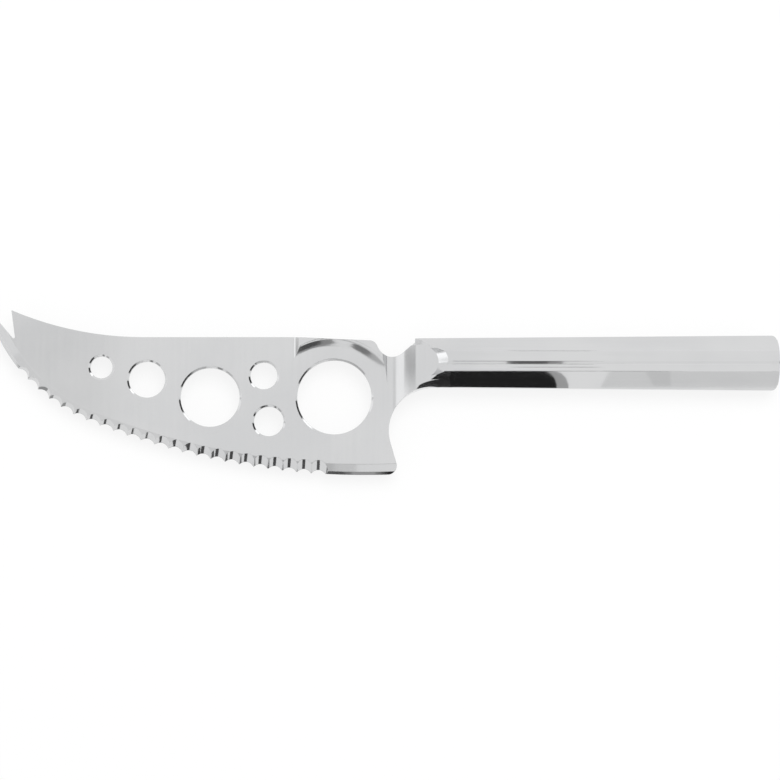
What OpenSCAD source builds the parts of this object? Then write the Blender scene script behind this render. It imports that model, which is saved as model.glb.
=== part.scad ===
// Cheese knife, all stainless steel: a forged blade with a forked tip, six through holes,
// scalloped teeth and a plain heel, and a hollow six-sided handle of two folded shells.
// x runs along the handle to the butt, y up to the spine, z out of the front face.
// The shapes are drawn from the front of the handle on its axis and middle plane. The finished
// pieces are moved so that the knife is centred on the origin with its back faces on z = 0.

/* [Blade] */
// Thickness of the flat of the blade
blade_t = 2; // [1.6:0.1:3]
// Distance ahead of the handle at which the spine starts to sweep up
spine_run = 85.5; // [80:0.5:95]
// Height of the straight spine above the handle's axis
spine_rise = 8.15; // [7:0.05:9]
// Radius of the upswept spine
spine_r = 106.4; // [90:1:130]
// Distance ahead of the handle of the lowest point of the belly
belly_ahead = 16; // [10:0.5:24]
// Depth of the belly below the handle's axis
belly_drop = 35.3; // [32:0.1:40]
// Radius of the long curve of the belly
belly_r = 229; // [180:1:300]
// Angle along the belly at which it tightens towards the point
nose_turn = 22.3; // [18:0.1:26]
// Radius of the tight curve that runs out along the lower prong
nose_r = 56; // [50:0.5:62]

/* [Fork] */
// Height of the lower prong's tip above the handle's axis
prong_rise = 17.9; // [15:0.1:20]
// Distance of the upper prong's tip behind the lower prong's tip
upper_prong_back = 8; // [6:0.1:10]
// Distance behind the upper prong's tip of the point where the notch's sides would meet
notch_back = 1.4; // [0.5:0.1:4]
// Height of that point above the handle's axis
notch_rise = 6.9; // [5:0.1:9]
// Radius in the bottom of the notch
notch_r = 0.4; // [0.2:0.1:1]

/* [Cutting edge] */
// Number of scallops ground into the edge
scallops = 23; // [16:1:23]
// Distance along the edge from scallop to scallop
scallop_pitch = 4.57; // [4:0.01:4.6]
// Depth of a scallop at the back face
scallop_depth = 1.13; // [0.7:0.01:1.4]
// Height of the first scallop, beside the heel, up the front face
scallop_reach = 4.2; // [3:0.1:4.6]
// Height of the last scallop, beside the point, up the front face
scallop_end_reach = 2.2; // [1.8:0.1:3]
// Length of plain edge between the lowest point and the first scallop
plain_run = 12.1; // [8:0.1:14]
// Height of the shallow bevel ground along the edge
grind_h = 3.3; // [2.6:0.1:4]
// Depth of the shallow bevel where the steep one starts
grind_d = 0.54; // [0.2:0.02:0.7]
// Height of the steep bevel at the very edge
bevel_h = 0.9; // [0.6:0.05:1.6]
// Thickness left at the edge
edge_t = 0.4; // [0.2:0.05:0.6]

/* [Holes] */
// Diameter of the large hole beside the heel, by which the knife can hang
hang_hole_d = 23.4; // [20:0.1:25]
// Distance of the large hole ahead of the handle
hang_hole_ahead = 25.4; // [24:0.1:27]
// Depth of the large hole below the handle's axis
hang_hole_drop = 10.9; // [9:0.1:12]
// Diameter of the middle hole of the row
middle_hole_d = 18.6; // [14:0.1:19]
// Distance of the middle hole ahead of the handle
middle_hole_ahead = 64.5; // [63:0.1:66]
// Depth of the middle hole below the handle's axis
middle_hole_drop = 10.9; // [9:0.1:12]
// Diameter of the third hole of the row
third_hole_d = 11.4; // [8:0.1:12]
// Distance of the third hole ahead of the handle
third_hole_ahead = 84.4; // [82:0.1:86]
// Depth of the third hole below the handle's axis
third_hole_drop = 5.3; // [4:0.1:7]
// Diameter of the hole nearest the point
point_hole_d = 7; // [5:0.1:8]
// Distance of the hole nearest the point ahead of the handle
point_hole_ahead = 98.8; // [97:0.1:101]
// Depth of the hole nearest the point below the handle's axis
point_hole_drop = 1.4; // [0:0.1:3]
// Diameter of the upper hole of the pair
upper_hole_d = 8.5; // [6:0.1:9]
// Distance of the upper hole of the pair ahead of the handle
upper_hole_ahead = 47.6; // [46:0.1:48]
// Depth of the upper hole of the pair below the handle's axis
upper_hole_drop = 4.1; // [3:0.1:5]
// Diameter of the lower hole of the pair
lower_hole_d = 9.3; // [6:0.1:10]
// Distance of the lower hole of the pair ahead of the handle
lower_hole_ahead = 46; // [44:0.1:47]
// Depth of the lower hole of the pair below the handle's axis
lower_hole_drop = 18.5; // [17:0.1:20]
// Width of the broken edge round each hole
rim_w = 0.6; // [0.2:0.05:0.8]
// Depth of the broken edge round each hole
rim_d = 0.3; // [0.1:0.05:0.5]

/* [Neck] */
// Thickness of the neck where it enters the handle
neck_t = 8.4; // [6:0.1:10]
// Distance ahead of the handle at which the flat of the blade starts to thicken
neck_ahead = 8.8; // [7:0.1:11]
// Distance behind the handle's front at which the neck reaches its full thickness
neck_full = 1.3; // [0.5:0.1:2]
// Radius of the hollow behind the heel
choil_r = 13.8; // [11:0.1:15]
// Lean of the heel's rear edge
heel_lean = 16.5; // [10:0.5:20]
// Radius on the corner of the heel
heel_r = 2.8; // [1.5:0.1:4]
// Radius of the dip between the spine and the handle
dip_r = 5; // [4:0.1:6]
// Thickness of the thumb rest forged along the spine
rest_t = 4.8; // [3.5:0.1:6]
// Length of the thumb rest ahead of the handle
rest_ahead = 38.7; // [34:0.1:44]
// Radius of the crown across the thumb rest, highest at the spine
rest_crown_r = 40; // [30:1:60]

/* [Handle] */
// Length of the handle
handle_len = 114.6; // [100:0.1:125]
// Thickness of the handle from back face to front face
handle_t = 14; // [12:0.1:17]
// Height of the handle at the front
handle_front_h = 15.4; // [14:0.1:16.4]
// Height of the handle at the butt
handle_butt_h = 17.4; // [16.5:0.1:17.8]
// Width of the flat front and back faces
flat_w = 6.4; // [5:0.1:8]
// Wall thickness of the folded shells
shell_wall = 1; // [0.6:0.1:1.4]
// Width of the line pressed along each flat face
groove_w = 1.9; // [1:0.1:2.5]
// Distance of the pressed line from the middle of the flat, towards the edge's side
groove_off = 1; // [0:0.1:1.6]
// Depth of the pressed line
groove_d = 0.45; // [0.2:0.05:0.55]
// Length of the solid bolster at the front of the handle
bolster_len = 11; // [10.5:0.1:14]
// Thickness of the cap welded into the butt
cap_t = 2.4; // [1.5:0.1:4]
// Bulge of the cap's outer face
cap_bulge = 0.8; // [0.3:0.1:1.2]
// Radius on the corners of the cap
cap_r = 1.5; // [0.8:0.1:2]
// Length of the spigots inside the shells
spigot_len = 4; // [2:0.1:6]
// Length of the tang inside the handle
tang_len = 62; // [40:1:85]
// Height of the tang
tang_h = 7; // [5:0.1:8]
// Thickness of the tang
tang_t = 4; // [3:0.1:5]
// Clearance between what fits inside the shells and what holds it
fit_gap = 0.1; // [0.05:0.01:0.3]

/* [Hidden] */
$fn = 180;
// Extra length by which a cut runs past what it cuts
over = 1;
// Distance by which a round runs past an edge that it meets on a tangent, to cross it cleanly
cross = 0.005;
// Height of the virtual corner in which the handle's sloping faces would meet
ridge_y = 9.1;
// Half thickness of the blade
half_t = blade_t / 2;
// Height above which there is nothing of the knife
sky = 2 * spine_r;

// Centres of the two curves of the edge, which touch where the belly tightens
belly_c = [-belly_ahead, belly_r - belly_drop];
nose_c = belly_c - (belly_r - nose_r + cross) * [sin(nose_turn), cos(nose_turn)];
// Tips of the prongs: the lower one ends the curve of the edge, the upper one the spine
lower_tip = [nose_c.x - sqrt(nose_r ^ 2 - (nose_c.y - prong_rise) ^ 2), prong_rise];
spine_c = [-spine_run, spine_rise + spine_r];
upper_x = lower_tip.x + upper_prong_back;
upper_tip = [upper_x, spine_c.y - sqrt(spine_r ^ 2 - (upper_x - spine_c.x) ^ 2)];
notch = [upper_x + notch_back, notch_rise];

// The choil is a circle that touches the underside of the handle behind its front
choil_back_share = 0.4;
choil_c = [choil_back_share * choil_r, -handle_front_h / 2 - choil_r];
heel_dir = [sin(heel_lean), -cos(heel_lean)];
heel_out = [cos(heel_lean), sin(heel_lean)];
heel_start = choil_c - choil_r * heel_out;
// Centre of the heel's corner, which touches the heel's rear edge and the belly
heel_base = heel_start - (heel_r - cross) * heel_out - belly_c;
heel_along = heel_base * heel_dir;
heel_reach = belly_r - heel_r + cross;
heel_t = -heel_along + sqrt(heel_along ^ 2 - heel_base * heel_base + heel_reach ^ 2);
heel_c = belly_c + heel_base + heel_t * heel_dir;

// The dip between spine and handle, and the rounded end of the spine that it touches
dip_place_shares = [-1.44, 1.38];
dip_c = dip_r * dip_place_shares;
shoulder_round_share = 0.52;
shoulder_top_share = 0.86;
shoulder_r = shoulder_round_share * dip_r;
shoulder_y = shoulder_top_share * spine_rise - shoulder_r;
shoulder_c = [dip_c.x - sqrt((dip_r + shoulder_r) ^ 2 - (dip_c.y - shoulder_y) ^ 2), shoulder_y];
// The rise from the dip to the handle leaves the dip at this angle
dip_slope = 40;
dip_end = dip_c + dip_r * [sin(dip_slope), -cos(dip_slope)];

// The ground flat round the large hole, which bites into the thumb rest
hang_hole = [-hang_hole_ahead, -hang_hole_drop];
dish_size_share = 1.54;
dish_place_shares = [-0.045, -0.105];
dish_r = dish_size_share * hang_hole_d / 2;
dish_c = hang_hole + hang_hole_d * dish_place_shares;
// Its edge rises in a hollow curve of this radius, as far as this angle
dish_flank_r = 6;
dish_flank_turn = 65;

// Centres and diameters of the holes in the blade
HOLES = [
    [hang_hole, hang_hole_d],
    [[-middle_hole_ahead, -middle_hole_drop], middle_hole_d],
    [[-third_hole_ahead, -third_hole_drop], third_hole_d],
    [[-point_hole_ahead, -point_hole_drop], point_hole_d],
    [[-upper_hole_ahead, -upper_hole_drop], upper_hole_d],
    [[-lower_hole_ahead, -lower_hole_drop], lower_hole_d],
];

// The bevel under the neck is a cone that meets the handle's lower sloping face
under_place_shares = [0.19, 0.107];
under_c = choil_c + choil_r * under_place_shares;
slope_y = (ridge_y - flat_w / 2) / (handle_t / 2);
neck_flat_y = flat_w / 2 + (handle_t / 2 - neck_t / 2) * slope_y;
under_r = -neck_flat_y - under_c.y;

// The neck's flat inside the bolster, with a round upper corner
nose_start_share = 0.24;
nose_end_share = 0.78;
nose_top_share = 0.97;
nose_x = nose_start_share * bolster_len;
nose_end_x = nose_end_share * bolster_len;
nose_top = nose_top_share * neck_flat_y;
nose_low_share = 0.67;
nose_low_x = nose_low_share * bolster_len;

// The bolster's front: where its slope starts and ends, and the angle through which it bends
bolster_edge_share = 0.085;
bolster_slope_share = 0.736;
bolster_turn = 18;

// The round scoop that carries the neck's flat on into the bolster: where its floor and its
// wall end, and its radius
scoop_floor_share = 0.67;
scoop_wall_share = 0.945;
scoop_r_share = 1.17;

// Width of a scallop, and the blunt front of the thumb rest with its run to each rise
scallop_width_share = 0.95;
rest_front_share = 0.6;
rest_run_share = 3;

// Steel colours
polished = [0.82, 0.83, 0.84];
pressed = [0.76, 0.77, 0.79];
resin = [0.30, 0.28, 0.25];

// Points on an arc about c, from angle a0 to a1
function arc(c, r, a0, a1, steps = 24) =
    [for (i = [0 : steps]) let (a = a0 + (a1 - a0) * i / steps) c + r * [cos(a), sin(a)]];

// Place of the finished pieces, centred on the origin over the rest face
top_y = max(lower_tip.y, upper_tip.y);
module placed() {
    translate([-(handle_len + lower_tip.x) / 2, -(top_y - belly_drop) / 2, handle_t / 2]) children();
}

// Angle along the edge, from straight down, at a distance s ahead of the lowest point
turn_s = belly_r * nose_turn * PI / 180;
function edge_angle(s) =
    s < turn_s ? s / belly_r * 180 / PI : nose_turn + (s - turn_s) / nose_r * 180 / PI;
function edge_point(s) =
    let (a = edge_angle(s))
    s < turn_s ? belly_c - belly_r * [sin(a), cos(a)] : nose_c - nose_r * [sin(a), cos(a)];

// A disc whose rim is one curve of the edge, with the two ground bevels on its front
module edge_disc(c, r) {
    translate(c) rotate_extrude() polygon([
        [0, -half_t],
        [r, -half_t],
        [r, edge_t - half_t],
        [r - bevel_h, half_t - grind_d],
        [r - grind_h, half_t],
        [0, half_t],
    ]);
}

// Flat bar as wide as the blade, with the curved edge along its lower side
module edged_bar() {
    reach = 2 * nose_r;
    edge_disc(nose_c, nose_r);
    intersection() {
        edge_disc(belly_c, belly_r);
        translate(nose_c) rotate(-nose_turn)
            translate([0, -reach, -blade_t]) cube([2 * reach, 2 * reach, 2 * blade_t]);
        translate([lower_tip.x, -reach, -blade_t]) cube([-lower_tip.x, 2 * reach, 2 * blade_t]);
    }
}

// What lies above the spine, from the upper prong to the shoulder
module above_spine() {
    intersection() {
        translate(spine_c) circle(r = spine_r);
        translate([-2 * spine_run, spine_rise - over]) square([spine_run, sky]);
    }
    polygon([
        [-spine_run, spine_rise],
        [-rest_ahead, spine_rise],
        shoulder_c + [0, shoulder_r],
        [shoulder_c.x, sky],
        [-spine_run, sky],
    ]);
}

// The dip between the rounded end of the spine and the handle
module dip() {
    difference() {
        union() {
            translate(dip_c) circle(r = dip_r);
            polygon([
                shoulder_c,
                dip_c,
                dip_end,
                [0, dip_end.y - dip_end.x * tan(dip_slope)],
                [0, sky],
                [shoulder_c.x, sky],
            ]);
        }
        translate(shoulder_c) circle(r = shoulder_r);
    }
}

// The notch between the prongs, rounded at the bottom, and what lies ahead of it
module fork_notch() {
    up = (upper_tip - notch) / norm(upper_tip - notch);
    down = (lower_tip - notch) / norm(lower_tip - notch);
    half_angle = acos(up * down) / 2;
    middle = (up + down) / norm(up + down);
    polygon([
        upper_tip,
        notch + up * notch_r / tan(half_angle),
        notch + down * notch_r / tan(half_angle),
        lower_tip,
        lower_tip - [spine_r, 0],
        upper_tip + [-spine_r, sky],
        upper_tip + [0, sky],
    ]);
    translate(notch + middle * notch_r / sin(half_angle)) circle(r = notch_r);
}

// The hollow behind the heel
module choil() {
    translate(choil_c) circle(r = choil_r);
    polygon([
        choil_c,
        heel_start,
        heel_start + 2 * choil_r * heel_dir,
        choil_c + [choil_r, -2 * choil_r],
        choil_c + [choil_r, 0],
    ]);
}

// The sharp corner outside the heel's round
module heel_corner() {
    difference() {
        polygon([
            heel_c,
            heel_c + heel_r * heel_out,
            heel_c + (heel_r + over) * heel_out,
            heel_c + (heel_r + over) * heel_out + 2 * heel_r * heel_dir,
            heel_c - [0, 2 * heel_r],
        ]);
        translate(heel_c) circle(r = heel_r);
    }
}

// All that the side view of the blade leaves out
module outside() {
    above_spine();
    dip();
    fork_notch();
    choil();
    heel_corner();
}

// The scallops, ground across the edge with a slant so that they reach up the front face,
// further beside the heel than at the point
module scallop_cuts() {
    chord = scallop_width_share * scallop_pitch;
    for (i = [0 : scallops - 1]) {
        s = plain_run + (i + 0.5) * scallop_pitch;
        reach = scallop_reach + (scallop_end_reach - scallop_reach) * i / (scallops - 1);
        slant = atan((reach - scallop_depth) / blade_t);
        sunk = scallop_depth * cos(slant);
        grind_r = ((chord / 2) ^ 2 + sunk ^ 2) / (2 * sunk);
        run = (2 * blade_t + grind_r * sin(slant)) / cos(slant);
        translate(concat(edge_point(s), -half_t)) rotate([0, 0, -edge_angle(s)])
            translate([0, scallop_depth - grind_r / cos(slant), 0]) rotate([-slant, 0, 0])
                cylinder(r = grind_r, h = 2 * run, center = true);
    }
}

// A hole through the blade with its edges broken on both faces
module blade_hole(d) {
    cylinder(d = d, h = blade_t + 2 * over, center = true);
    for (side = [0, 1]) mirror([0, 0, side]) translate([0, 0, half_t - rim_d])
        cylinder(r1 = d / 2, r2 = d / 2 + 2 * rim_w, h = 2 * rim_d);
}

module blade_plate() {
    difference() {
        edged_bar();
        translate([0, 0, -blade_t]) linear_extrude(2 * blade_t) outside();
        scallop_cuts();
        for (hole = HOLES) translate(hole[0]) blade_hole(hole[1]);
    }
}

// Thickness of a piece along x, given by its half thickness as points [x, z]
module thickness(points, height) {
    back = [for (i = [len(points) - 1 : -1 : 0]) [points[i].x, -points[i].y]];
    rotate([90, 0, 0]) linear_extrude(2 * height, center = true) polygon(concat(points, back));
}

// What lies under the crown of one face of the thumb rest
module rest_crown(side, slope) {
    mirror([0, 0, side]) translate([0, spine_rise, rest_t / 2 - rest_crown_r])
        rotate([0, 90 - slope, 0]) cylinder(r = rest_crown_r, h = 3 * rest_ahead, center = true);
}

// The thumb rest along the spine: crowned across, thicker towards the handle, with a hollow
// front, and cut short where the neck and the flat round the large hole are ground
module thumb_rest() {
    front_t = half_t + rest_front_share * (rest_t / 2 - half_t);
    rise = front_t - half_t;
    run = rest_run_share * rise;
    end_r = (rise ^ 2 + run ^ 2) / (2 * rise);
    end_angle = asin(run / end_r);
    start = [-rest_ahead, half_t];
    back = rest_t / 2 - half_t;
    slope = atan((rest_t / 2 - front_t) / rest_ahead);
    difference() {
        intersection() {
            thickness(concat(
                [start - [0, half_t / 2]],
                arc(start + [0, end_r], end_r, -90, -90 + end_angle),
                [[-neck_ahead - back, rest_t / 2], [-neck_ahead, half_t], [-neck_ahead, half_t / 2]]
            ), belly_drop);
            translate([0, 0, -rest_t]) linear_extrude(2 * rest_t) difference() {
                translate([-rest_ahead, dish_c.y]) square([rest_ahead, belly_drop]);
                above_spine();
                dip();
                choil();
            }
            rest_crown(0, slope);
            rest_crown(1, slope);
        }
        translate(dish_c) cylinder(r = dish_r, h = 2 * rest_t, center = true);
        for (side = [0, 1]) mirror([0, 0, side]) translate(dish_c) rotate_extrude() polygon(concat(
            [[0, half_t]],
            arc([dish_r, half_t + dish_flank_r], dish_flank_r, -90, dish_flank_turn - 90),
            [[0, half_t + dish_flank_r * (1 - cos(dish_flank_turn))]]
        ));
    }
}

// The neck: the blade thickens in a hollow curve to a flat that ends in a round nose
module neck() {
    rise = neck_t / 2 - half_t;
    run = neck_ahead + neck_full;
    curve_r = (run ^ 2 + rise ^ 2) / (2 * rise);
    curve_angle = asin(run / curve_r);
    start = [-neck_ahead, half_t];
    difference() {
        intersection() {
            thickness(concat(
                arc(start + [0, curve_r], curve_r, -90, -90 + curve_angle),
                [[nose_end_x + over, neck_t / 2]]
            ), belly_drop);
            translate([0, 0, -neck_t]) linear_extrude(2 * neck_t) neck_outline();
        }
        for (side = [0, 1]) mirror([0, 0, side]) translate(under_c) rotate_extrude() polygon([
            [0, neck_t / 2 - under_r / slope_y],
            [under_r + over * slope_y, neck_t / 2 + over],
            [0, neck_t / 2 + over],
        ]);
    }
}

// Side view of the neck, whose end is buried in the bolster
module neck_outline() {
    nose_round = nose_end_x - nose_x;
    nose_y = nose_top - nose_round;
    difference() {
        union() {
            translate([-neck_ahead, choil_c.y]) square([neck_ahead + nose_x, nose_top - choil_c.y]);
            translate([-neck_ahead, choil_c.y]) square([neck_ahead + nose_low_x, nose_y - choil_c.y]);
            translate([nose_x, nose_y]) circle(r = nose_round);
        }
        dip();
        choil();
    }
}

// Six-sided section of the handle, inset by a wall on every side
module handle_section(inset) {
    normal = sqrt(slope_y ^ 2 + 1);
    top_z = handle_t / 2 - inset;
    ridge = ridge_y - inset * normal;
    flat_y = ridge - top_z * slope_y;
    polygon([
        [ridge, 0], [flat_y, top_z], [-flat_y, top_z],
        [-ridge, 0], [-flat_y, -top_z], [flat_y, -top_z],
    ]);
}

// Length of six-sided bar between two places along x, tapered in height with the handle
module handle_bar(x0, x1, inset) {
    taper = (handle_butt_h - handle_front_h) / 2 / handle_len;
    y0 = handle_front_h / 2 + taper * x0 - inset;
    y1 = handle_front_h / 2 + taper * x1 - inset;
    intersection() {
        translate([x0, 0, 0]) rotate([90, 0, 90]) linear_extrude(x1 - x0) handle_section(inset);
        translate([0, 0, -handle_t]) linear_extrude(2 * handle_t)
            polygon([[x0, -y0], [x1, -y1], [x1, y1], [x0, y0]]);
    }
}

// The lines pressed along both flat faces
module grooves() {
    for (side = [0, 1]) mirror([0, 0, side]) translate([0, -groove_off, handle_t / 2])
        rotate([90, 0, 90]) linear_extrude(handle_len + over) polygon([
            [0, -groove_d], [groove_w, groove_d], [-groove_w, groove_d],
        ]);
}

// A slanting round scoop in each face of the bolster, as deep as the flat of the neck
module scoops() {
    floor_x = scoop_floor_share * bolster_len;
    wall_x = scoop_wall_share * bolster_len;
    scoop_r = scoop_r_share * neck_flat_y;
    slant = atan((wall_x - floor_x) / (handle_t / 2 - neck_t / 2));
    down = 2 * scoop_r * tan(slant);
    for (side = [0, 1]) mirror([0, 0, side]) translate([floor_x, 0, neck_t / 2])
        rotate([0, slant, 0]) translate([-scoop_r, 0, -down])
            cylinder(r = scoop_r, h = down + 2 * handle_t);
}

// The bolster, whose front slopes down to the neck in a hollow curve
module bolster() {
    front_z = bolster_edge_share * handle_t;
    run = bolster_slope_share * bolster_len;
    rise = handle_t / 2 - front_z;
    chord = sqrt(run ^ 2 + rise ^ 2);
    slope_r = chord / 2 / sin(bolster_turn / 2);
    first = atan(rise / run) - bolster_turn / 2;
    centre = [0, front_z] + slope_r * [-sin(first), cos(first)];
    difference() {
        intersection() {
            handle_bar(0, bolster_len, 0);
            thickness(concat(
                arc(centre, slope_r, first - 90, first - 90 + bolster_turn),
                [[bolster_len + over, handle_t / 2]]
            ), handle_front_h);
        }
        grooves();
        scoops();
    }
    handle_bar(bolster_len - over, bolster_len + spigot_len, shell_wall + fit_gap);
}

module tang() {
    translate([0, -tang_h / 2, -tang_t / 2]) cube([bolster_len + tang_len, tang_h, tang_t]);
}

module blade() {
    color(polished) placed() {
        blade_plate();
        thumb_rest();
        neck();
        bolster();
        tang();
    }
}

// One folded shell: the half of the tube in front of or behind the seams
module shell(side) {
    mirror([0, 0, side]) intersection() {
        difference() {
            handle_bar(bolster_len, handle_len - cap_t, 0);
            handle_bar(bolster_len - over, handle_len, shell_wall);
            grooves();
        }
        translate([0, -handle_butt_h, 0]) cube([handle_len, 2 * handle_butt_h, handle_t]);
    }
}

module handle_front_shell() {
    color(pressed) placed() shell(0);
}

module handle_back_shell() {
    color(pressed) placed() shell(1);
}

// The cap that closes the butt, with a spigot inside the shells
module butt_cap() {
    half_h = handle_butt_h / 2;
    bulge_r = (half_h ^ 2 + cap_bulge ^ 2) / (2 * cap_bulge);
    corner = [handle_len - cap_bulge - cap_r, half_h - cap_r];
    color(polished) placed() {
        difference() {
            intersection() {
                handle_bar(handle_len - cap_t, handle_len, 0);
                translate([handle_len - bulge_r, 0, 0]) sphere(r = bulge_r);
                translate([0, 0, -handle_t]) linear_extrude(2 * handle_t) union() {
                    translate([0, -half_h]) square([corner.x, 2 * half_h]);
                    translate([0, -corner.y]) square([handle_len, 2 * corner.y]);
                    for (up = [-1, 1]) translate([corner.x, up * corner.y]) circle(r = cap_r);
                }
            }
            grooves();
        }
        handle_bar(handle_len - cap_t - spigot_len, handle_len - cap_t, shell_wall + fit_gap);
    }
}

// The resin that fills the handle round the tang
module handle_filler() {
    color(resin) placed() difference() {
        handle_bar(
            bolster_len + spigot_len + fit_gap,
            handle_len - cap_t - spigot_len - fit_gap,
            shell_wall + fit_gap
        );
        translate([0, -tang_h / 2 - fit_gap, -tang_t / 2 - fit_gap])
            cube([bolster_len + tang_len + fit_gap, tang_h + 2 * fit_gap, tang_t + 2 * fit_gap]);
    }
}

blade();
handle_front_shell();
handle_back_shell();
butt_cap();
handle_filler();
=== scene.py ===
# A cheese knife, all of stainless steel: forged blade and bolster in one, and a hollow
# handle welded up from two folded shells and a cap. It lies on its back on a white table,
# lit from all round by a light tent, as cutlery is photographed.

import math

import bpy
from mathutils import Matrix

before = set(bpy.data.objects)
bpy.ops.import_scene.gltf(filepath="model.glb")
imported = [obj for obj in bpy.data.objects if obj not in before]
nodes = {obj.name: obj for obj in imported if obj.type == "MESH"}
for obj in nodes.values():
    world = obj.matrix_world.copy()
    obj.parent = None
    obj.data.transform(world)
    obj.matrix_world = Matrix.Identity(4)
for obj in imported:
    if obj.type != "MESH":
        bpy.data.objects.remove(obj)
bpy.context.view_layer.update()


# The blade: one forging with the bolster, ground flat, its holes, bevels and scallops cut
# and their edges broken, and the whole of it polished. The belt leaves a faint grain across
# the blade, and use leaves hair scratches and smudges. The rounded edges are coloured
# brighter: partly metal brightened by rubbing, partly a painted highlight.

STEEL = (0.665, 0.668, 0.672, 1)
STEEL_DULL = (0.625, 0.629, 0.636, 1)
# Brighter steel for the rounded edges: metal brightened by rubbing and a painted highlight
STEEL_RUBBED_AND_HIGHLIGHT = (0.76, 0.762, 0.768, 1)

# Axes are 0, 1, 2 for x, y, z. A seam is an axis and the place along it, in metres
BOLSTER_SEAM = (0, 0.0213944)
NECK_END = (0, 0.0177644)
SEAM_HALF = 0.0006

# How many grain lines there are to the metre along x, y and z
GRAIN_ACROSS = (900, 30, 900)
BLADE_ROUGHNESS = 0.085
BLADE_EDGE_RADIUS = 0.00012


class Wire:
    """A shader socket on which sums, differences and products can be written."""

    def __init__(self, socket):
        self.socket = socket
        self.tree = socket.id_data

    def node(self, kind, settings=None, sockets=None, out=0):
        """A node of any kind: its settings first, then the value or link of each socket."""
        return add_node(self.tree, kind, settings, sockets, out)

    def calc(self, operation, *values):
        return self.node("Math", {"operation": operation}, dict(enumerate(values)))

    def __add__(self, other):
        return self.calc("ADD", self, other)

    def __mul__(self, other):
        return self.calc("MULTIPLY", self, other)

    def __sub__(self, other):
        return self.calc("SUBTRACT", self, other)

    def __rsub__(self, other):
        return self.calc("SUBTRACT", other, self)

    def __abs__(self):
        return self.calc("ABSOLUTE", self)

    __radd__ = __add__
    __rmul__ = __mul__

    def between(self, low, high):
        """0 below low, 1 above high, smooth between them."""
        settings = {"interpolation_type": "SMOOTHSTEP"}
        return self.node("MapRange", settings, {0: self, 1: low, 2: high})

    def blend(self, first, second):
        """A colour between two, by this mask."""
        settings = {"data_type": "RGBA"}
        return self.node("Mix", settings, {0: self, 6: first, 7: second}, out=2)

    def part(self, axis):
        """One coordinate of a place: 0, 1 or 2 for x, y or z."""
        return self.node("SeparateXYZ", None, {0: self}, out=axis)

    def stretched(self, x, y, z):
        """Coordinates multiplied along each axis."""
        settings = {"operation": "MULTIPLY"}
        return self.node("VectorMath", settings, {0: self, 1: (x, y, z)})

    def noise(self, scale, detail=2.0, roughness=0.5):
        """Soft random values round 0.5, at so many to the metre."""
        sockets = {"Vector": self, "Scale": scale, "Detail": detail, "Roughness": roughness}
        return self.node("TexNoise", None, sockets)


def add_node(tree, kind, settings=None, sockets=None, out=0):
    made = tree.nodes.new("ShaderNode" + kind)
    for name, value in (settings or {}).items():
        setattr(made, name, value)
    for name, value in (sockets or {}).items():
        if isinstance(value, Wire):
            tree.links.new(value.socket, made.inputs[name])
        else:
            made.inputs[name].default_value = value
    return Wire(made.outputs[out]) if made.outputs else made


def new_finish(name):
    """An empty material, and the place on the object, in metres."""
    material = bpy.data.materials.new(name)
    material.use_nodes = True
    material.node_tree.nodes.clear()
    place = add_node(material.node_tree, "TexCoord", out=3)
    return material, place


def scratches(place, angle, pitch, width):
    """Mask of hair scratches that lie near one direction, so many to the metre."""
    turned = place.node("Mapping", None, {"Vector": place, "Rotation": (0, 0, angle)})
    lines = turned.stretched(60, pitch, pitch).noise(scale=1.0, detail=1.0)
    patches = place.noise(scale=90).between(0.52, 0.66)
    return (1 - abs(lines - 0.5).between(0, width)) * patches


def steel(name, grain_pitch, roughness, edge_radius, seams):
    """Polished stainless steel with a faint grain along one axis and its seams dressed flush."""
    material, place = new_finish(name)
    grain = place.stretched(*grain_pitch).noise(scale=1.0, detail=3.0, roughness=0.65)
    clouds = place.noise(scale=28, detail=3.0, roughness=0.55)
    smudges = place.noise(scale=75, detail=4.0, roughness=0.6).between(0.45, 0.75)
    hairs = (scratches(place, angle=0.35, pitch=2600, width=0.008)
             + scratches(place, angle=-0.8, pitch=3100, width=0.006))

    # The edges are rounded, but not where a seam was welded and ground away
    rounded = place.node("Bevel", {"samples": 8}, {"Radius": edge_radius})
    face = place.node("NewGeometry", out=1)
    off_seams = 1
    for axis, seam in seams:
        off_seams = abs(place.part(axis) - seam).between(SEAM_HALF, 2 * SEAM_HALF) * off_seams
    vectors = {0: off_seams, 4: face, 5: rounded}
    soft = place.node("Mix", {"data_type": "VECTOR"}, vectors, out=1)

    # Where the rounded edge's normal leaves the face's own, the colour is brighter: metal
    # brightened by rubbing and a painted highlight along the edge
    agreement = place.node("VectorMath", {"operation": "DOT_PRODUCT"}, {0: soft, 1: face}, out=1)
    rubbed_and_highlight = 1 - agreement.between(0.90, 0.995)

    tone = (clouds * 0.8 + grain * 0.2).between(0.35, 0.65)
    polished = tone.blend(STEEL_DULL, STEEL)
    rough = roughness + grain * 0.02 + smudges * 0.03 + hairs * 0.08 - rubbed_and_highlight * 0.01
    height = grain * 0.12 + clouds * 0.25 - hairs * 0.3
    relief = {"Height": height, "Normal": soft, "Strength": 0.05, "Distance": 0.00002}
    # The base colour turns brighter on the rounded edges, a painted highlight along with the
    # rubbing
    shader = place.node("BsdfPrincipled", None, {
        "Base Color": (rubbed_and_highlight * 0.7).blend(polished, STEEL_RUBBED_AND_HIGHLIGHT),
        "Metallic": 1.0,
        "Roughness": rough,
        "Normal": place.node("Bump", None, relief),
    })
    place.node("OutputMaterial", None, {"Surface": shader})
    return material


def dress(node, material):
    """Gives a CAD node its finish."""
    piece = nodes[node]
    piece.data.materials.clear()
    piece.data.materials.append(material)


blade_steel = steel(
    "blade steel", GRAIN_ACROSS, BLADE_ROUGHNESS, BLADE_EDGE_RADIUS, [BOLSTER_SEAM, NECK_END])
dress("blade", blade_steel)


# The handle's two shells: sheet steel folded to three sides, a line pressed along the
# middle, then welded edge to edge and polished lengthways until the seams are gone.

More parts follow.
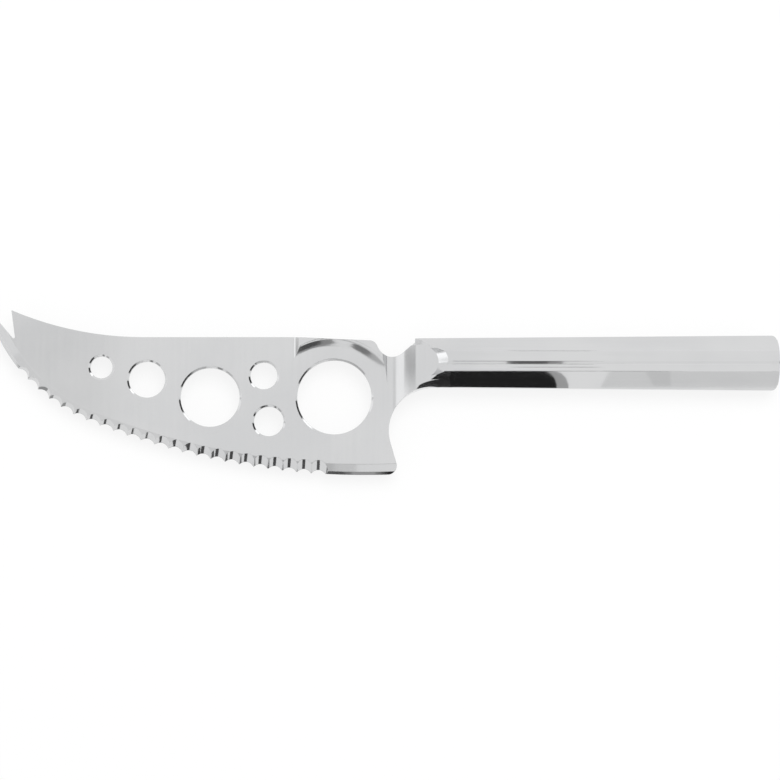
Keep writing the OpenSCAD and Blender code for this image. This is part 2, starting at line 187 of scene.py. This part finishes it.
CAP_SEAM = (0, 0.1225944)
MIDDLE_SEAM = (2, 0.007)
GRAIN_ALONG = (20, 1100, 1100)
HANDLE_ROUGHNESS = 0.03
HANDLE_EDGE_RADIUS = 0.0003

handle_steel = steel(
    "handle steel", GRAIN_ALONG, HANDLE_ROUGHNESS, HANDLE_EDGE_RADIUS,
    [BOLSTER_SEAM, CAP_SEAM, MIDDLE_SEAM])
dress("handle_front_shell", handle_steel)
dress("handle_back_shell", handle_steel)


# The butt cap: a plate welded into the end of the shells and ground to a slight crown,
# with the pressed line carried across it. It is polished with the handle.

cap_steel = steel("cap steel", GRAIN_ALONG, HANDLE_ROUGHNESS, HANDLE_EDGE_RADIUS, [CAP_SEAM])
dress("butt_cap", cap_steel)


# The filler: resin cast round the tang. It is hidden inside the handle and is dressed
# only so that it is a real material if the knife is taken apart.

RESIN_DARK = (0.19, 0.17, 0.14, 1)
RESIN_LIGHT = (0.26, 0.235, 0.20, 1)

material, place = new_finish("cast resin")
speckle = place.noise(scale=900, detail=4.0, roughness=0.7)
relief = {"Height": speckle, "Strength": 0.3, "Distance": 0.0002}
resin = place.node("BsdfPrincipled", None, {
    "Base Color": speckle.between(0.4, 0.6).blend(RESIN_DARK, RESIN_LIGHT),
    "Roughness": speckle * 0.3 + 0.5,
    "Normal": place.node("Bump", None, relief),
})
place.node("OutputMaterial", None, {"Surface": resin})
dress("handle_filler", material)


# The table: a smooth white board that takes the knife's soft shadow. It glows a little to
# the camera and in reflections, as the lit board of a product photograph does.

TABLE_HALF = 2.0
TABLE_TOP = -0.0001  # a hair below the knife, so that their faces don't coincide
TABLE_WHITE = (0.93, 0.93, 0.93, 1)
TABLE_GLOW = 0.8


def direct_rays(tree):
    """1 for what the camera, a reflection or a glass shows, 0 for light on a surface."""
    path = add_node(tree, "LightPath").socket.node.outputs
    camera, glossy, glass = (
        Wire(path[name]) for name in ("Is Camera Ray", "Is Glossy Ray", "Is Transmission Ray"))
    return camera.calc("MAXIMUM", glossy.calc("MAXIMUM", glossy, glass), camera)


def new_object(name, corners, faces, material):
    """A thing of the set, by its corners and faces."""
    mesh = bpy.data.meshes.new(name)
    mesh.from_pydata(corners, [], faces)
    mesh.materials.append(material)
    made = bpy.data.objects.new(name, mesh)
    bpy.context.scene.collection.objects.link(made)
    return made


material, place = new_finish("table white")
board = place.node("BsdfPrincipled", None, {
    "Base Color": TABLE_WHITE,
    "Roughness": 0.9,
    "Specular IOR Level": 0.0,
})
glow = place.node("Emission", None, {"Color": (1, 1, 1, 1), "Strength": 1.0})
glow_share = direct_rays(material.node_tree) * TABLE_GLOW
lit_board = place.node("MixShader", None, {0: glow_share, 1: board, 2: glow})
place.node("OutputMaterial", None, {"Surface": lit_board})

square = ((-1, -1), (1, -1), (1, 1), (-1, 1))
corners = [(x * TABLE_HALF, y * TABLE_HALF, TABLE_TOP) for x, y in square]
table = new_object("table", corners, [(0, 1, 2, 3)], material)


# The light tent: white all round, a touch darker for all but the camera and the
# reflections, with one broad soft lamp overhead.

TENT_LIGHT = 0.75
LAMP_SIZE = 0.9
LAMP_WATTS = 9
LAMP_PLACE = (0.2, 0.5, 1.3)

world = bpy.data.worlds.new("tent")
bpy.context.scene.world = world
world.use_nodes = True
world.node_tree.nodes.clear()
strength = direct_rays(world.node_tree) * (1 - TENT_LIGHT) + TENT_LIGHT
background = strength.node("Background", None, {"Color": (1, 1, 1, 1), "Strength": strength})
strength.node("OutputWorld", None, {"Surface": background})

lamp_data = bpy.data.lights.new("overhead lamp", "AREA")
lamp_data.shape, lamp_data.size, lamp_data.energy = "SQUARE", LAMP_SIZE, LAMP_WATTS
lamp = bpy.data.objects.new("overhead lamp", lamp_data)
bpy.context.scene.collection.objects.link(lamp)
lamp.location = LAMP_PLACE
lamp.rotation_mode = "QUATERNION"
lamp.rotation_quaternion = lamp.location.to_track_quat("Z", "Y")
lamp.visible_glossy = False


# The black and grey flags that stand round the knife. Only its reflections show them:
# polished steel that sees nothing but white has no form. Their corners are in millimetres,
# and their tones are what they give off, where the tent gives 1.

PER_METRE = 1000
FOOT, TOP = -1, 11  # z of the cards beside the edge
FLOOR = 0.3  # z of the cards that lie on the table
LOW, ROOF, FAR_ROOF = 60, 300, 820  # z of the cards overhead


def flag(name, corners, faces, tone):
    """A card of one tone that shows in reflections alone."""
    material, place = new_finish(name)
    light = place.node("Emission", None, {"Color": (tone, tone, tone, 1), "Strength": 1.0})
    place.node("OutputMaterial", None, {"Surface": light})
    card = new_object(name, corners, faces, material)
    card.visible_camera = False
    card.visible_diffuse = False
    card.visible_shadow = False
    card.visible_transmission = False


def near_flag(name, outline, tone):
    """A flat card close to the knife, by the corners of its outline."""
    corners = [tuple(value / PER_METRE for value in corner) for corner in outline]
    flag(name, corners, [tuple(range(len(corners)))], tone)


def far_flag(name, turns, heights, tone, away=1.2, steps=8):
    """A card on the wall of the tent, between two turns and two heights in degrees."""
    corners = []
    for row in range(steps + 1):
        height = math.radians(heights[0] + (heights[1] - heights[0]) * row / steps)
        for column in range(steps + 1):
            turn = math.radians(turns[0] + (turns[1] - turns[0]) * column / steps)
            flat = away * math.cos(height)
            up = away * math.sin(height)
            corners.append((flat * math.cos(turn), flat * math.sin(turn), up))
    faces = []
    for row in range(steps):
        for column in range(steps):
            first = row * (steps + 1) + column
            faces.append((first, first + 1, first + steps + 2, first + steps + 1))
    flag(name, corners, faces, tone)


def standing(y, outline):
    """The outline of an upright card at one y, by its x and z."""
    return [(x, y, z) for x, z in outline]


def lying(z, outline):
    """The outline of a level card at one height, by its x and y."""
    return [(x, y, z) for x, y in outline]


# Two cards lean on the table's edge side: they blacken the lower sloping face of the
# handle as far as their rounded corner, and the narrow bevel of the plain edge.
near_flag("edge side black", standing(-68, [
    (-50, FOOT), (59.4, FOOT), (59.3, 4.4), (58.8, 6.2), (57.7, 7.7), (56.0, 8.9),
    (53.5, 10.2), (49, TOP), (-50, TOP),
]), tone=0.02)
near_flag("edge side grey", standing(-69, [
    (50, FOOT), (63.6, FOOT), (63.4, 4.4), (62.6, 6.6), (61.0, 8.2), (58.0, 9.4),
    (53, TOP), (50, TOP),
]), tone=0.45)

# The narrow bevel pales towards its middle: three cards, each in front of the last
for left, right, tone in ((-30, 2, 0.12), (-13.5, 0.5, 0.24), (-11, -1.5, 0.42)):
    outline = [(left, FOOT), (right, FOOT), (right, TOP), (left, TOP)]
    near_flag(f"edge side tone {tone}", standing(-67 + tone, outline), tone)

# Further along, the sloping face sees the table's pale foot, with a greyer patch on it
near_flag("handle's far patch", lying(0.6, [
    (97, -112), (103, -112), (115.5, -230), (104, -230),
]), tone=0.75)
near_flag("handle's far foot", lying(FLOOR, [
    (78, -112), (160, -112), (160, -230), (92, -230),
]), tone=0.84)

# Higher up on the edge side, cards darken a stretch of the pressed line's upper wall and
# keep the rest of it light.
near_flag("pressed line black", standing(-68, [
    (45.5, 70), (58.5, 70), (58.5, 108), (45.5, 108),
]), tone=0.15)
near_flag("pressed line grey", standing(-69, [
    (41.5, 70), (64, 70), (64, 108), (41.5, 108),
]), tone=0.36)
near_flag("pressed line white", standing(-70, [
    (22, 66), (145, 66), (145, 112), (22, 112),
]), tone=0.96)

# One overhead darkens a stretch of the rounded edge between the flat and the face above it
near_flag("upper edge grey", lying(ROOF, [(56, 90), (92, 90), (92, 240), (56, 240)]), tone=0.12)

# Grey over the wide bevel, along the edge from the middle of the scallops to the heel
near_flag("bevel grey", lying(LOW, [
    (-17, -38), (-30, -38), (-42, -36.5), (-55, -34), (-61, -46), (-45, -49.5),
    (-31, -51.5), (-17, -52),
]), tone=0.66)
near_flag("bevel fading", lying(LOW, [
    (-17, -38), (-17, -52), (-9, -52), (-9, -38),
]), tone=0.80)
near_flag("bevel white", lying(LOW, [
    (-9, -38), (-9, -56), (42, -56), (42, -30), (16, -34), (6, -38),
]), tone=0.97)
near_flag("bevel pale", lying(LOW, [
    (-55, -34), (-78, -28), (-112, -15), (-138, 8), (-155, -4), (-121, -26), (-84, -41),
    (-61, -46),
]), tone=0.89)

# Each scallop shows one dark stroke, of the dark behind the camera's side of the tent
far_flag("scallop stroke", turns=(-103, -79), heights=(0, 31), tone=0.09)

# The low scallops near the point look down at the table instead, into the shade under the
# blade. Black and grey cards lying on the table there are painted shade that only
# reflections show, and upright strips between them keep the black to the same narrow stroke.
SCALLOP_TIPS = [
    (-104.9, -2.4), (-100.9, -5.1), (-97.2, -7.3), (-93.0, -9.2), (-88.8, -10.9), (-84.5, -12.5),
    (-80.3, -14.1), (-76.0, -15.6), (-71.7, -16.9), (-67.2, -18.1), (-62.8, -19.5), (-58.3, -20.6),
]
STRIP_SHIFT = -0.95
STRIP_GAP = 1.5
STRIP_LENGTH = 13
STRIP_FOOT = 0.4
STRIP_TOP = 7.2

# Painted shade: dark cards on the table where the blade's shade falls, seen only in reflections
near_flag("painted shade under the point", lying(FLOOR, [
    (-56, -24.5), (-71, -20.5), (-84, -16), (-97, -11), (-98, -340), (-56, -340),
]), tone=0.11)
near_flag("grey painted shade under the point", lying(FLOOR, [
    (-97, -11), (-106, -7), (-150, -7), (-175, -340), (-98, -340),
]), tone=0.38)

corners, faces = [], []
for tip_x, tip_y in SCALLOP_TIPS:
    x = tip_x + STRIP_SHIFT
    near = tip_y - STRIP_GAP
    far = near - STRIP_LENGTH
    first = len(corners)
    for y, z in ((near, STRIP_FOOT), (far, STRIP_FOOT), (far, STRIP_TOP), (near, STRIP_TOP)):
        corners.append((x / PER_METRE, y / PER_METRE, z / PER_METRE))
    faces.append((first, first + 1, first + 2, first + 3))
flag("scallop strips", corners, faces, tone=0.97)

# The broken edges of the holes look up at all sides of the tent
far_flag("hole rim black low", turns=(-66, -16), heights=(24, 52), tone=0.06)
far_flag("hole rim black high", turns=(12, 40), heights=(24, 52), tone=0.06)
far_flag("hole rim white", turns=(42, 60), heights=(33, 42), tone=1.7)

# The crown of the thumb rest sees a dark patch to either side of the white above it
near_flag("thumb rest dark", lying(ROOF, [
    (12, -70), (45, -90), (140, -250), (165, -420), (50, -420), (12, -200), (0, -105),
]), tone=0.10)
near_flag("thumb rest grey", lying(ROOF + 1, [
    (-24, -20), (5, -30), (45, -75), (75, -110), (60, -420), (-30, -420), (-34, -130),
    (-20, -60),
]), tone=0.34)
near_flag("thumb rest heel dark", lying(ROOF, [
    (-58, -60), (-85, -60), (-230, -230), (-230, -380), (-120, -240), (-62, -88),
]), tone=0.26)
near_flag("thumb rest heel grey", lying(ROOF + 1, [
    (-45, -18), (-100, -58), (-380, -215), (-400, -330), (-320, -300), (-260, -255),
    (-60, -62),
]), tone=0.58)

# The hollow of the neck sees a paler side of the tent with a grey spot on it, and the
# scoop behind it the tent's bright foot.
far_flag("neck pale", turns=(153, 178), heights=(31, 77), tone=1.22)
near_flag("neck grey", lying(ROOF, [
    (-215, 44), (-215, 55), (-313, 62), (-386, 68), (-500, 79), (-500, 65), (-386, 53),
    (-313, 48),
]), tone=0.50)
near_flag("neck fading", lying(ROOF + 1, [
    (-198, 38), (-198, 60), (-313, 69), (-386, 76), (-520, 90), (-520, 56), (-386, 44),
    (-313, 40),
]), tone=0.84)
near_flag("scoop white", [
    (-300, -160, -1), (-300, 70, -1), (-300, 70, 45), (-300, -160, 45),
], tone=1.55)

# The blade's flat grows a little darker towards its point
near_flag("point grey", lying(FAR_ROOF, [
    (-173, 20), (-173, 125), (-262, 125), (-262, 20),
]), tone=0.88)


# The camera looks almost straight down, from a little to the side of the edge.

VIEW_WIDTH = 0.2457
VIEW_TILT = 5.5
AIM = (0.0025, 0.0002, 0.007)
LENS = 120
SENSOR = 36

camera_data = bpy.data.cameras.new("camera")
camera_data.lens = LENS
camera_data.sensor_width = SENSOR
camera = bpy.data.objects.new("camera", camera_data)
bpy.context.scene.collection.objects.link(camera)
distance = VIEW_WIDTH * LENS / SENSOR
tilt = math.radians(VIEW_TILT)
aim_x, aim_y, aim_z = AIM
camera.location = (aim_x, aim_y - distance * math.sin(tilt), aim_z + distance * math.cos(tilt))
camera.rotation_euler = (tilt, 0, 0)
bpy.context.scene.camera = camera
bpy.context.scene.view_settings.view_transform = "Standard"
